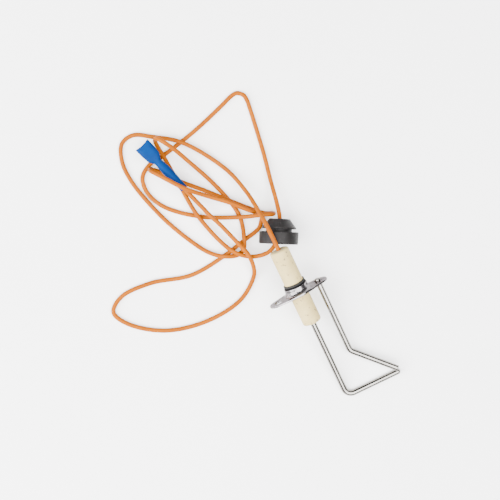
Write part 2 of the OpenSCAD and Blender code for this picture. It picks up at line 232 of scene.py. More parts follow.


# %% [markdown]
# ## The lead
# The lead is one limp wire of about a metre, tossed down in loops. Its route is a list of points,
# the same as in the construction, with a little height wherever one strand crosses another.
# The points are measured along the surface from the flange's middle. A centripetal Catmull-Rom
# curve goes through all of them without overshooting, and a round section is carried along it.

# %% The lead's route
def smooth_curve(points, per_gap=14):
    """Centripetal Catmull-Rom: between two points, three straight blends of the four nearest
    points, then two, then one, with each gap's time taken as the square root of its length."""
    p = np.vstack([2 * points[0] - points[1], points, 2 * points[-1] - points[-2]])
    gap = np.sqrt(np.linalg.norm(np.diff(p, axis=0), axis=1))
    knots = np.concatenate([[0], np.cumsum(gap)])
    out = []
    for i in range(1, len(p) - 2):
        t0, t1, t2, t3 = knots[i - 1:i + 3]
        t = np.linspace(t1, t2, per_gap, endpoint=False)[:, None]
        a1 = ((t1 - t) * p[i - 1] + (t - t0) * p[i]) / (t1 - t0)
        a2 = ((t2 - t) * p[i] + (t - t1) * p[i + 1]) / (t2 - t1)
        a3 = ((t3 - t) * p[i + 1] + (t - t2) * p[i + 2]) / (t3 - t2)
        b1 = ((t2 - t) * a1 + (t - t0) * a2) / (t2 - t0)
        b2 = ((t3 - t) * a2 + (t - t1) * a3) / (t3 - t1)
        out.append(((t2 - t) * b1 + (t - t1) * b2) / (t2 - t1))
    return np.vstack(out + [points[-1:]])


def along(local, distance):
    """The point at that distance, in millimetres, up a local frame's Z axis."""
    return local[0] + local[1][2] * distance * MM


LEAD_R = 1.15
RING_STEP = 0.9
first_stretch = np.array([
    # over the grommet's disc and down to the surface
    [0, 37, 20.6], [-0.5, 47, 14.5], [-2, 60, 7.5], [-6.5, 75, 2.5], [-21, 97, 3.9],
    # round the wide left turn
    [-33.5, 106.5, 1.3], [-43, 112, 1.2], [-50, 110.5, 1.2], [-54, 102, 1.2],
    [-54, 90, 1.2], [-48, 67.5, 1.2], [-40, 49.5, 1.2], [-33.5, 39, 2],
    [-27, 33.5, 4], [-20, 31, 1.2],
    # back up the middle
    [-16, 32.5, 2.3], [-13.5, 37, 4.1], [-10.5, 48, 1.2], [-11.5, 57.5, 1.2],
    [-16, 72, 1.4], [-22, 86, 5.5],
    # the upright curl beside the boot
    [-26.5, 95.5, 10.6], [-29.5, 100.5, 13], [-32, 104, 10.6], [-33.5, 103.5, 5.5],
    [-33.5, 99.5, 3],
    # down the middle again and up into the grommet
    [-33, 95, 3.7], [-32, 80.5, 3.7], [-30, 57.5, 3.9], [-22, 34.5, 3.9], [-15.5, 28, 4],
    [-8.5, 25.5, 6.8], [-3, 26, 9.6],
])
second_stretch = np.array([
    # out to the far peak and back
    [10, 46.5, 8.8], [12.5, 59.5, 3.9], [15.5, 74.5, 1.5], [19, 98, 1.2],
    [19.5, 102.5, 1.2], [19, 106, 1.2], [16, 108.5, 1.2], [12, 108, 1.2], [6.5, 106, 1.2],
    [-12.5, 100, 1.2], [-32.5, 95.5, 1.2],
    # round the small left turn
    [-42, 94, 1.2], [-48, 89.5, 1.2], [-49, 81, 1.2], [-44.5, 71, 1.2], [-29.5, 58, 1.2],
    # the upright curl beside the grommet
    [-10.5, 48.5, 3.7], [1.5, 44, 11.5], [5.5, 42.5, 9], [6, 43, 3.3], [2, 45, 1.2],
    # under the boot's tail
    [-11, 58, 4], [-20.5, 68.5, 2.8], [-32, 80.5, 1.2],
    # the upright curl beside the boot's sleeve
    [-39, 89, 1.3], [-42, 91.5, 3.7], [-42, 90, 10], [-39.5, 86.5, 12.8],
    # over the boot's tail and down
    [-30, 74, 13.6], [-21, 65.5, 9.3], [-11.5, 57, 7.1], [-4, 49, 5.2], [-1.5, 47, 4],
    [0, 44, 2.9], [-1.5, 41.5, 1.8], [-4, 39, 1.3], [-14, 36.5, 1.2], [-28, 33.5, 1.2],
    # round the big lower loop
    [-47, 32, 1.2], [-68.5, 37.5, 1.2], [-85.5, 37.5, 1.2], [-92.5, 32, 1.2], [-88.5, 23.5, 1.2],
    [-72, 11.5, 1.2], [-49.5, 6.5, 1.2], [-29, 9, 1.2], [-18, 16.5, 1.4],
    # over the other strands and up to the boot
    [-15.5, 21, 5], [-15, 28.5, 8.2], [-17.5, 37, 7.1], [-22, 50.5, 8.6],
])
from_ceramic = [along(probe, s) for s in (17, 30.4)]
through_grommet = [along(grommet_frame, s) for s in (4.5, 14.2)]
into_boot = [along(boot_frame, s) for s in (52, 45, 36, 26, 15)]
beside = np.array([probe[0][0], probe[0][1], 0])
hand_points = np.vstack([from_ceramic, first_stretch * MM + beside, through_grommet,
                         second_stretch * MM + beside, into_boot])
route = smooth_curve(hand_points)
route[:, 2] = np.maximum(route[:, 2], LEAD_R * MM)


# %% Sweep a round section
def carried_frames(path):
    """A side vector is carried along the path: at each point it is made square to the new
    direction again, so the section never spins about the path."""
    direction = np.gradient(path, axis=0)
    direction /= np.linalg.norm(direction, axis=1)[:, None]
    side = np.zeros_like(path)
    carried = np.array([1.0, 0, 0]) if abs(direction[0][0]) < 0.9 else np.array([0, 1.0, 0])
    for i, d in enumerate(direction):
        carried = unit(carried - d * (carried @ d))
        side[i] = carried
    return direction, side


def travelled(path):
    """The distance travelled along the path at each of its points."""
    return np.concatenate([[0], np.cumsum(np.linalg.norm(np.diff(path, axis=0), axis=1))])


def swept(name, path, radius, sides=20):
    """At each point of the path, a circle square to it: centre + r (side cos a + up sin a)."""
    direction, side = carried_frames(path)
    up = np.cross(direction, side)
    angle = np.linspace(0, 2 * np.pi, sides, endpoint=False)[None, :, None]
    radius = np.broadcast_to(radius, len(path))[:, None, None]
    grid = path[:, None] + radius * (side[:, None] * np.cos(angle) + up[:, None] * np.sin(angle))
    return grid_object(name, grid, uv=travelled(path), ends=True)


def evenly(path, step):
    """The same path at equal steps of its own length."""
    travel = travelled(path)
    wanted = np.linspace(0, travel[-1], int(travel[-1] / step) + 1)
    return np.stack([np.interp(wanted, travel, path[:, k]) for k in range(3)], 1)


lead_path = evenly(route, RING_STEP * MM)
lead = swept("lead_wire", lead_path, LEAD_R * MM)
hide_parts("lead_jacket")
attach(lead, "probe")
print("lead mesh:", len(lead.data.polygons), "faces")


# %% [markdown]
# ## The ceramic insulator
# The insulator is a turned steatite body: a thick half on the lead side and a slightly thinner
# nose that goes into the burner. Its ends are tumbled round. It is made as one closed profile
# carried round the axis, down the outside and back up through the stepped bore.

# %% Ceramic
CERAMIC_R = 5.1
NOSE_R = 5.0
CERAMIC_UP = 24.9
NOSE_LEN = 17.6
END_ROUND = 1.2
CHAMBER_R = 2.7
CHAMBER_FLOOR = 3.0
ROD_BORE_R = 1.6
PLUG_R = 2.3
PLUG_TOP = 3.0 - NOSE_LEN
ceramic_loop = rounded(
    [(NOSE_R, -NOSE_LEN), (NOSE_R, 0.3), (CERAMIC_R, 0.5), (CERAMIC_R, CERAMIC_UP),
     (CHAMBER_R, CERAMIC_UP), (CHAMBER_R, CHAMBER_FLOOR), (ROD_BORE_R, CHAMBER_FLOOR),
     (ROD_BORE_R, PLUG_TOP), (PLUG_R, PLUG_TOP), (PLUG_R, -NOSE_LEN)],
    [END_ROUND, 0.05, 0.05, END_ROUND, 0.25, 0, 0, 0, 0, 0.3], 8)
ceramic = turned("ceramic_body", spaced(ceramic_loop, 0.6), probe, 128)
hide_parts("ceramic_insulator")
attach(ceramic, "probe")
print("ceramic:", len(ceramic.data.vertices), "points")


# %% [markdown]
# ## The two rods
# Both rods are drawn heat-resisting wire. The sensing rod is bent square and its tip is rounded.
# The earth rod is cropped flat, and its other end is headed over the flange like a rivet. Each is
# a swept circle: the path is straight, then an arc, then straight, and the radius is a second
# list that goes with the path, which is how the head and the tips get their shapes.

# %% Rods
ROD_R = 1.5
ROD_SIDES = 40
SENSE_TOP = 9.9
SENSE_DROP = 62.4
SENSE_REACH = 30.9
SENSE_BEND = 4.0
EARTH_TOP = 0.6
EARTH_DROP = 41.2
EARTH_LEG = 26.8
EARTH_BEND = 3.5
EARTH_KICK = math.radians(47)
EARTH_TURN = math.radians(-30.4)
CROP = 0.1


def bent_path(top, bottom, bend, angle, leg, turn_out=0.0):
    """Straight down from top to the bend, an arc of that radius, then a leg. The leg leans by
    angle from straight down, in a plane turned by turn_out about the rod. Returns the path."""
    setback = bend * math.tan(angle / 2)
    down = np.linspace(top, bottom + setback, 60)
    straight = np.stack([down * 0, down * 0, down], 1)
    phi = np.linspace(0, angle, 25)[1:-1]
    arc = np.stack([bend - bend * np.cos(phi), phi * 0, bottom + setback - bend * np.sin(phi)], 1)
    reach = np.linspace(setback, leg, 50)
    lean_leg = np.stack([reach * math.sin(angle), reach * 0, bottom - reach * math.cos(angle)], 1)
    path = np.vstack([straight, arc, lean_leg])
    c, s = math.cos(turn_out), math.sin(turn_out)
    return path @ np.array([[c, s, 0], [-s, c, 0], [0, 0, 1]])


def with_tip(path, radius, tip):
    """Adds rings past the path's end: each tip row is (distance past the end, radius)."""
    last = unit(path[-1] - path[-2])
    extra = np.array([path[-1] + last * distance for distance, _ in tip])
    radii = np.broadcast_to(radius, len(path))
    return np.vstack([path, extra]), np.concatenate([radii, [r for _, r in tip]])


ball = [(ROD_R * math.sin(a), ROD_R * math.cos(a)) for a in np.linspace(0.1, 1.5, 12)]
sense_path = bent_path(SENSE_TOP, -SENSE_DROP, SENSE_BEND, math.pi / 2, SENSE_REACH - ROD_R)
sense_path, sense_r = with_tip(sense_path, ROD_R, ball)
sensing = swept("sensing_wire", to_world(sense_path * MM, probe), sense_r * MM, ROD_SIDES)
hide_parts("sensing_rod")
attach(sensing, "probe")

cropped = [(0.001, ROD_R - 0.02), (CROP - 0.02, ROD_R - 0.16), (CROP - 0.01, 0.4)]
earth_path = bent_path(EARTH_TOP, -EARTH_DROP, EARTH_BEND, EARTH_KICK, EARTH_LEG - CROP, EARTH_TURN)
earth_path, earth_r = with_tip(earth_path, ROD_R, cropped)
# the riveted head from its crown down to the sheet, as heights and radii
head = np.array([(1.9, 0.3), (1.895, 0.8), (1.88, 1.1), (1.8, 1.3), (1.66, 1.46), (1.45, 1.57),
                 (1.2, 1.6), (0.85, 1.6), (0.62, 1.6), (0.52, 1.58), (0.501, 1.5)])
head_path = np.stack([head[:, 0] * 0, head[:, 0] * 0, head[:, 0]], 1)
earth_path = np.vstack([head_path, earth_path[2:]]) + [HOLE_PITCH, 0, 0]
earth_r = np.concatenate([head[:, 1], earth_r[2:]])
earth = swept("earth_wire", to_world(earth_path * MM, flange_frame), earth_r * MM, ROD_SIDES)
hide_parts("earth_rod")
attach(earth, "probe")
print("rods:", len(sensing.data.vertices), "and", len(earth.data.vertices), "points")


# %% [markdown]
# ## The flange
# The flange is pressed from 1 mm stainless sheet: an oval with the middle drawn up into a collar
# that grips the ceramic. It is one grid. Angle runs round the axis; the other way goes in along
# the underside, round the sheared edge, back over the top and up the collar. Pits left by the
# rivet punch are pressed into the top, and the fixing hole is cut afterwards.

# %% Flange
HALF_SHEET = 0.5
EDGE = 0.25
FILLET = 2.5
COLLAR_R = CERAMIC_R + 1.2
COLLAR_FOOT = COLLAR_R + FILLET
COLLAR_TOP = 4.3
HOLE_R = 2.25
PIT_RING = 2.15
PIT_R = 0.6


def outline_radius(angle, middle=8.0, end=5.0, pitch=HOLE_PITCH):
    """Distance from the axis to the oval's edge. The oval is the tight band round three circles,
    so its points are the two end arcs, the two middle arcs and the straight tangents between."""
    swing = math.acos((middle - end) / pitch)
    end_arc = np.linspace(-swing, swing, 40)
    right = np.stack([pitch + end * np.cos(end_arc), end * np.sin(end_arc)], 1)
    mid_arc = np.linspace(swing, math.pi - swing, 30)
    top = np.stack([middle * np.cos(mid_arc), middle * np.sin(mid_arc)], 1)
    edge = spaced(np.vstack([right, top, -right, -top]), 0.2)
    around = np.arctan2(edge[:, 1], edge[:, 0])
    order = np.argsort(around)
    return np.interp(angle, around[order], np.hypot(edge[:, 0], edge[:, 1])[order], period=2 * np.pi)


def top_path(edge, share):
    """In from the edge over the flat sheet, then up a quarter round: r = foot - fillet sin t and
    z = half a sheet + fillet (1 - cos t). Share runs evenly over the length of the whole path."""
    flat = np.maximum(edge - COLLAR_FOOT, 0)
    first_t = np.arcsin(np.clip((COLLAR_FOOT - edge) / FILLET, 0, 1))
    travel = share * (flat + FILLET * (np.pi / 2 - first_t))
    t = first_t + np.maximum(travel - flat, 0) / FILLET
    r = np.where(travel < flat, edge - travel, COLLAR_FOOT - FILLET * np.sin(t))
    return r, HALF_SHEET + np.where(travel < flat, 0, FILLET * (1 - np.cos(t)))


def rivet_pits(x, y, count=4, depth=0.38):
    """Round dimples at equal angles about the rivet: a bowl of half a cosine in the distance."""
    z = np.zeros_like(x)
    for k in range(count):
        a = math.pi / 4 + k * math.pi / 2
        d = np.hypot(x - HOLE_PITCH - PIT_RING * math.cos(a), y - PIT_RING * math.sin(a))
        z -= depth * (0.5 + 0.5 * np.cos(np.pi * np.clip(d / PIT_R, 0, 1)))
    return z


angle = np.linspace(-np.pi, np.pi, 448, endpoint=False)
edge_r = outline_radius(angle)[None, :] - EDGE
over_r, over_z = top_path(edge_r, np.linspace(0, 1, 110)[:, None])
share = np.linspace(0, 1, 16)[:, None]
under_start = CERAMIC_R + 0.05
under_r = under_start + (edge_r - under_start) * share
under = np.stack(np.broadcast_arrays(under_r, -HALF_SHEET), -1)
corner = np.linspace(0, np.pi / 2, 6)[:, None]
low_rim_z = 0 * edge_r - HALF_SHEET + EDGE * (1 - np.cos(corner))
low_rim = np.stack([edge_r + EDGE * np.sin(corner), low_rim_z], -1)
high_rim = np.stack([edge_r + EDGE * np.cos(corner), over_z[:1] - EDGE + EDGE * np.sin(corner)], -1)
over = np.stack([over_r, over_z], -1)
collar = np.array([
    # up the outside
    (COLLAR_R, COLLAR_TOP - 0.9), (COLLAR_R, COLLAR_TOP - 0.5), (COLLAR_R, COLLAR_TOP - 0.2),
    # over the rolled lip
    (COLLAR_R - 0.02, COLLAR_TOP - 0.1), (COLLAR_R - 0.1, COLLAR_TOP - 0.03),
    (COLLAR_R - 0.2, COLLAR_TOP), (CERAMIC_R + 0.4, COLLAR_TOP), (CERAMIC_R + 0.1, COLLAR_TOP),
    # down the bore
    (CERAMIC_R, COLLAR_TOP - 0.1), (CERAMIC_R, 3.0), (CERAMIC_R, 1.3), (CERAMIC_R, 0.05 - HALF_SHEET),
])[:, None, :]
collar = np.broadcast_to(collar, (len(collar), len(angle), 2))
section = np.concatenate([under[:-1], low_rim, high_rim[:-1], over, collar])
x = section[..., 0] * np.cos(angle)
y = section[..., 0] * np.sin(angle)
on_top = section[..., 1] > HALF_SHEET - 0.1
z = section[..., 1] + rivet_pits(x, y) * on_top
flange = grid_object("flange_plate", to_world(np.stack([x, y, z], -1) * MM, flange_frame),
                     wrap_rows=True)

ring_angle = np.linspace(0, 2 * np.pi, 64, endpoint=False)
cut = np.stack([np.stack([HOLE_R * np.cos(ring_angle) - HOLE_PITCH, HOLE_R * np.sin(ring_angle),
                          0 * ring_angle + height], -1) for height in (-2.0, 2.0)])
cutter = grid_object("hole_cutter", to_world(cut * MM, flange_frame), ends=True)
drill = flange.modifiers.new("Fixing hole", "BOOLEAN")
drill.object = cutter
drill.solver = "EXACT"
with bpy.context.temp_override(object=flange, active_object=flange):
    bpy.ops.object.modifier_apply(modifier=drill.name)
bpy.data.objects.remove(cutter)
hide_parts("flange")
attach(flange, "probe")
print("flange:", len(flange.data.polygons), "faces")


# %% [markdown]
# ## Seal ring and retaining ring
# A thin rubber seal sits on the collar, and a toothed push-on ring above it holds the ceramic
# down. Both are turned profiles. The ring's rim has fine teeth, made by adding a small cosine of
# the angle to its outer radius.

# %% Rings
SEAL_R = 6.05
SEAL_TOP = COLLAR_TOP + 0.8
RING_R = 5.8
RING_TOP = SEAL_TOP + 1.1
seal_loop = rounded([(SEAL_R, COLLAR_TOP), (SEAL_R, SEAL_TOP), (CERAMIC_R, SEAL_TOP),
                     (CERAMIC_R, COLLAR_TOP)], [0.2, 0.3, 0.1, 0.1], 5)
seal = turned("seal", spaced(seal_loop, 0.3), probe, 128)
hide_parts("seal_ring")
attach(seal, "probe")


def teeth(profile, angle, count=44, height=0.07):
    """Rows near the outer rim get height x cosine of count times the angle, squared off a little."""
    outer = np.clip((profile[:, :1] / MM - RING_R + 0.3) / 0.2, 0, 1)
    return outer * height * (np.tanh(2 * np.cos(count * angle))[None, :] - 1)


def locking_tab(profile, angle, height=0.7, half_width=0.14):
    """Rows at the ring's top rise by height within half_width of angle zero, with eased sides."""
    apart = np.abs((angle + np.pi) % (2 * np.pi) - np.pi)
    rise = np.clip((half_width - apart) / 0.03, 0, 1)[None, :]
    return np.clip((profile[:, 1:] / MM - RING_TOP + 0.3) / 0.1, 0, 1) * height * rise


ring_loop = rounded([(RING_R, SEAL_TOP), (RING_R, RING_TOP - 0.15), (RING_R - 0.25, RING_TOP),
                     (CERAMIC_R, RING_TOP), (CERAMIC_R, SEAL_TOP)], [0.15, 0.1, 0.1, 0.05, 0.1], 4)
ring = turned("grip_ring", spaced(ring_loop, 0.15), probe, 352, teeth, locking_tab)
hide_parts("retaining_ring")
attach(ring, "probe")
print("rings:", len(seal.data.vertices), "and", len(ring.data.vertices), "points")


# %% [markdown]
# ## The grommet
# A panel grommet of soft black rubber: a thick disc, a groove for the panel's edge and a cone
# that pushes through the hole. Moulded rubber has no sharp corners, so every corner of its
# profile is rounded, the outer ones most.

# %% Grommet
DISC_R = 10.25
DISC_T = 6.5
NECK_R = 6.75
NECK_TOP = 8.0
CONE_R = 8.95
CONE_TIP_R = 5.4
CONE_TOP = 13.2
GROMMET_BORE_R = LEAD_R + 0.3
FUNNEL_R = 5.0
FUNNEL_DEPTH = 4.5
grommet_loop = rounded(
    [(DISC_R, 0), (DISC_R, DISC_T), (NECK_R, DISC_T), (NECK_R, NECK_TOP), (CONE_R, NECK_TOP),
     (CONE_R, NECK_TOP + 0.6), (CONE_TIP_R, CONE_TOP), (GROMMET_BORE_R, CONE_TOP),
     (GROMMET_BORE_R, FUNNEL_DEPTH), (FUNNEL_R, 0)],
    [0.7, 0.5, 0.3, 0.3, 0.2, 0.4, 0.7, 0.3, 0.8, 0.5], 7)
grommet = turned("panel_grommet", spaced(grommet_loop, 0.5), grommet_frame, 144)
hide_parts("grommet")
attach(grommet, "grommet")
print("grommet:", len(grommet.data.vertices), "points")


# %% [markdown]
# ## The terminal's boot
# The boot is a dip-moulded sleeve: a flat, wide head round the receptacle, a waist, a slight
# swell over the crimp and a tail that grips the lead. Its section is a superellipse whose width,
# height and squareness change along its length, and the wall is a second, smaller set of
# sections that comes back up the inside.

# %% Boot
BOOT_LEN = 32
SCOOP_DEPTH = 0.7
SCOOP_REACH = 6.0
HEAD_HALF_W = 4.35
# distance from the mouth, half width, half height, squareness
OUTER_STATIONS = np.array([
    (0, 4.31, 2.66, 4.5), (1.2, 4.34, 2.7, 4.5), (5.0, 4.22, 2.68, 4.3), (8.2, 3.98, 2.62, 4.0),
    (12.7, 2.12, 2.12, 2.2), (19.4, 2.58, 2.58, 2.0), (BOOT_LEN - 0.6, 2.03, 2.03, 2.0),
    (BOOT_LEN, 1.95, 1.95, 2.0)])
INNER_STATIONS = np.array([
    (0, 3.8, 1.5, 9.0), (8.2, 3.8, 1.5, 9.0), (11.5, 1.5, 1.5, 2.0), (27.5, 1.5, 1.5, 2.0),
    (28.5, 1.3, 1.3, 2.0), (BOOT_LEN, 1.3, 1.3, 2.0)])


def section_at(s, stations):
    """Half width, half height and squareness at distance s, eased between stations with a cubic:
    the share of the next station is 3 t^2 - 2 t^3."""
    place = stations[:, 0]
    k = np.clip(np.searchsorted(place, s, side="right") - 1, 0, len(place) - 2)
    t = np.clip((s - place[k]) / np.diff(place)[k], 0, 1)
    ease = (t * t * (3 - 2 * t))[:, None]
    return (stations[k, 1:] * (1 - ease) + stations[k + 1, 1:] * ease).T


def superellipse(s, half_w, half_h, power, angle):
    """x = h sign(cos a) |cos a|^(2/p) and y = w sign(sin a) |sin a|^(2/p), at height s."""
    c, n = np.cos(angle)[None, :], np.sin(angle)[None, :]
    e = (2 / power)[:, None]
    x = half_h[:, None] * np.sign(c) * np.abs(c) ** e
    y = half_w[:, None] * np.sign(n) * np.abs(n) ** e
    return np.stack([x, y, np.broadcast_to(s[:, None], x.shape)], -1)


boot_angle = np.linspace(0, 2 * np.pi, 96, endpoint=False)
outer_s = np.linspace(0, BOOT_LEN, 110)
inner_s = np.linspace(BOOT_LEN, 0, 80)
outer_wall = superellipse(outer_s, *section_at(outer_s, OUTER_STATIONS), boot_angle)
inner_wall = superellipse(inner_s, *section_at(inner_s, INNER_STATIONS), boot_angle)
walls = np.concatenate([outer_wall, inner_wall])
scoop = SCOOP_DEPTH * (1 - np.clip(walls[..., 1] / HEAD_HALF_W, -1, 1) ** 2)
walls[..., 2] += scoop * np.clip(1 - walls[..., 2] / SCOOP_REACH, 0, 1) ** 2
boot = grid_object("boot_sleeve", to_world(walls * MM, boot_frame), wrap_rows=True)
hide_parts("terminal_boot")
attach(boot, "boot")
print("boot:", len(boot.data.vertices), "points")


# %% [markdown]
# ## The pieces on the lead
# The lead is a free cord. The grommet, the terminal and the boot are the pieces that are
# threaded on it.


# %% [markdown]
# ## Shared surface effects
# Real parts are never one flat colour. Two small node groups give that life to every material:
# one blends two colours with soft cloudy patches and a few specks, the other makes a fine height
# field for bump. They read Object coordinates, so the pattern is fixed to the piece. On the
# polished flange the darker patches are painted reflections, not the steel's own tone.

# %% Node groups
def new_group(name, inputs, outputs):
    """A shader node group with the given (name, kind, default) inputs and (name, kind) outputs."""
    group = bpy.data.node_groups.new(name, "ShaderNodeTree")
    for label, kind, default in inputs:
        socket = group.interface.new_socket(name=label, in_out="INPUT", socket_type=kind)
        socket.default_value = default
    for label, kind in outputs:
        group.interface.new_socket(name=label, in_out="OUTPUT", socket_type=kind)
    return group, group.nodes.new("NodeGroupInput"), group.nodes.new("NodeGroupOutput")


def add(tree, kind, **settings):
    """Adds a node: plain names set properties, and names that match a socket set its value."""
    node = tree.nodes.new(kind)
    for key, value in settings.items():
        if key in node.inputs:
            node.inputs[key].default_value = value
        else:
            setattr(node, key, value)
    return node


FLOAT, COLOUR, VECTOR = "NodeSocketFloat", "NodeSocketColor", "NodeSocketVector"
mottle, mottle_in, mottle_out = new_group(
    "Mottle", [("Light", COLOUR, (1, 1, 1, 1)), ("Dark", COLOUR, (0, 0, 0, 1)),
               ("Speck", COLOUR, (0, 0, 0, 1)), ("Patch scale", FLOAT, 120.0),
               ("Speck scale", FLOAT, 900.0), ("Speck amount", FLOAT, 0.3),
               ("Vector", VECTOR, (0, 0, 0))],
    [("Color", COLOUR)])
cloud = add(mottle, "ShaderNodeTexNoise", Detail=6.0, Roughness=0.6)
spots = add(mottle, "ShaderNodeTexNoise", Detail=2.0, Roughness=0.5)
cloud_range = add(mottle, "ShaderNodeMapRange", **{"From Min": 0.35, "From Max": 0.65})
spot_range = add(mottle, "ShaderNodeMapRange", **{"From Min": 0.64, "From Max": 0.70})
blend_patch = add(mottle, "ShaderNodeMix", data_type="RGBA")
blend_spot = add(mottle, "ShaderNodeMix", data_type="RGBA")
spot_amount = add(mottle, "ShaderNodeMath", operation="MULTIPLY")
link = mottle.links.new
link(mottle_in.outputs["Vector"], cloud.inputs["Vector"])
link(mottle_in.outputs["Vector"], spots.inputs["Vector"])
link(mottle_in.outputs["Patch scale"], cloud.inputs["Scale"])
link(mottle_in.outputs["Speck scale"], spots.inputs["Scale"])
link(cloud.outputs["Fac"], cloud_range.inputs["Value"])
link(spots.outputs["Fac"], spot_range.inputs["Value"])
link(cloud_range.outputs["Result"], blend_patch.inputs["Factor"])
link(mottle_in.outputs["Light"], blend_patch.inputs[6])
link(mottle_in.outputs["Dark"], blend_patch.inputs[7])
link(spot_range.outputs["Result"], spot_amount.inputs[0])
link(mottle_in.outputs["Speck amount"], spot_amount.inputs[1])
link(spot_amount.outputs["Value"], blend_spot.inputs["Factor"])
link(blend_patch.outputs[2], blend_spot.inputs[6])
link(mottle_in.outputs["Speck"], blend_spot.inputs[7])
link(blend_spot.outputs[2], mottle_out.inputs["Color"])

skin, skin_in, skin_out = new_group(
    "Skin", [("Scale", FLOAT, 1500.0), ("Stretch", VECTOR, (1, 1, 1)), ("Rough low", FLOAT, 0.3),
             ("Rough high", FLOAT, 0.5), ("Vector", VECTOR, (0, 0, 0))],
    [("Height", FLOAT), ("Roughness", FLOAT)])
stretch = add(skin, "ShaderNodeVectorMath", operation="MULTIPLY")
grain = add(skin, "ShaderNodeTexNoise", Detail=5.0, Roughness=0.65)
rough = add(skin, "ShaderNodeMapRange", **{"From Min": 0.3, "From Max": 0.7})
link = skin.links.new
link(skin_in.outputs["Vector"], stretch.inputs[0])
link(skin_in.outputs["Stretch"], stretch.inputs[1])
link(stretch.outputs["Vector"], grain.inputs["Vector"])
link(skin_in.outputs["Scale"], grain.inputs["Scale"])
link(grain.outputs["Fac"], rough.inputs["Value"])
link(skin_in.outputs["Rough low"], rough.inputs["To Min"])
link(skin_in.outputs["Rough high"], rough.inputs["To Max"])
link(grain.outputs["Fac"], skin_out.inputs["Height"])
link(rough.outputs["Result"], skin_out.inputs["Roughness"])
print("groups:", mottle.name, skin.name)


# %% [markdown]
# ## A finish in one call
# Most finishes here are the same recipe with other numbers: a mottled colour, a grain that sets
# both roughness and bump, and a few fixed values on the shader itself.

# %% Finish
def finish(name, light, dark, speck, patch, specks, grain, rough, bump=0.1, depth=0.02,
           stretch=(1, 1, 1), turned_to=None, **fixed):
    """Builds a material from the two groups. patch and grain are noise scales, specks is a scale
    and an amount, rough is the lowest and highest roughness, and depth is in millimetres.
    turned_to gives three angles that line the grain up with a piece's own axis. fixed values go
    straight onto the Principled shader."""
    material = bpy.data.materials.new(name)
    material.use_nodes = True
    tree = material.node_tree
    shader = tree.nodes["Principled BSDF"]
    place = add(tree, "ShaderNodeTexCoord")
    vector = place.outputs["Object"]
    if turned_to is not None:
        mapping = add(tree, "ShaderNodeMapping", vector_type="TEXTURE")
        mapping.inputs["Rotation"].default_value = turned_to
        tree.links.new(vector, mapping.inputs["Vector"])
        vector = mapping.outputs["Vector"]
    colour = add(tree, "ShaderNodeGroup", node_tree=mottle)
    for key, value in (("Light", (*light, 1)), ("Dark", (*dark, 1)), ("Speck", (*speck, 1)),
                       ("Patch scale", patch), ("Speck scale", specks[0]),
                       ("Speck amount", specks[1])):
        colour.inputs[key].default_value = value
    surface = add(tree, "ShaderNodeGroup", node_tree=skin)
    for key, value in (("Scale", grain), ("Stretch", stretch), ("Rough low", rough[0]),
                       ("Rough high", rough[1])):
        surface.inputs[key].default_value = value
    relief = add(tree, "ShaderNodeBump", Strength=bump, Distance=depth * MM)
    tree.links.new(vector, colour.inputs["Vector"])
    tree.links.new(vector, surface.inputs["Vector"])
    tree.links.new(colour.outputs["Color"], shader.inputs["Base Color"])
    tree.links.new(surface.outputs["Roughness"], shader.inputs["Roughness"])
    tree.links.new(surface.outputs["Height"], relief.inputs["Height"])
    tree.links.new(relief.outputs["Normal"], shader.inputs["Normal"])
    for key, value in fixed.items():
        shader.inputs[key.replace("_", " ")].default_value = value
    return material


def linear(r, g, b):
    """A screen colour from 0 to 255 as the linear values that a shader takes."""
    c = np.array([r, g, b]) / 255
    return tuple(float(v) for v in np.where(c < 0.04045, c / 12.92, ((c + 0.055) / 1.055) ** 2.4))


def paint(material, *pieces):
    """Puts the material in the first slot of each piece."""
    for piece in pieces:
        piece.data.materials.clear()
        piece.data.materials.append(material)


probe_turn = (-(math.pi / 2 - math.asin(probe[1][2][2])), 0, 0)
print("grain of the probe's pieces is turned by", round(math.degrees(probe_turn[0]), 1), "degrees")


# %% [markdown]
# ## Materials
# Steatite is a warm matte white with faint stains and a few iron specks. The rods are drawn
# steel, so their grain runs along them. The flange is polished sheet, and the darker streaks in
# its colour are painted reflections. The rubber is nearly black with a dusty bloom, the boot is
# soft blue vinyl, and the lead is orange silicone.

# %% Ceramic and cement
ceramic_finish = finish(
    "steatite", light=(0.51, 0.398, 0.175), dark=(0.44, 0.335, 0.135), speck=(0.13, 0.10, 0.06),
    patch=140, specks=(520, 0.75), grain=2500, rough=(0.55, 0.75), bump=0.25, depth=0.03,
    Specular_IOR_Level=0.25)
cement_finish = finish(
    "cement", light=(0.42, 0.36, 0.22), dark=(0.30, 0.25, 0.15), speck=(0.12, 0.10, 0.07),
    patch=600, specks=(2500, 0.6), grain=3500, rough=(0.8, 0.95), bump=0.5, depth=0.06)
paint(ceramic_finish, ceramic)
paint(cement_finish, nodes["rod_cement"], nodes["lead_cement"])

# %% Steel
rod_finish = finish(
    "drawn_steel", light=(0.24, 0.228, 0.211), dark=(0.19, 0.18, 0.167), speck=(0.10, 0.094, 0.088),
    patch=180, specks=(1500, 0.25), grain=2600, rough=(0.13, 0.17), bump=0.01, depth=0.01,
    stretch=(1, 1, 0.04), turned_to=probe_turn, Metallic=1.0, Specular_Tint=(0.5, 0.48, 0.46, 1))
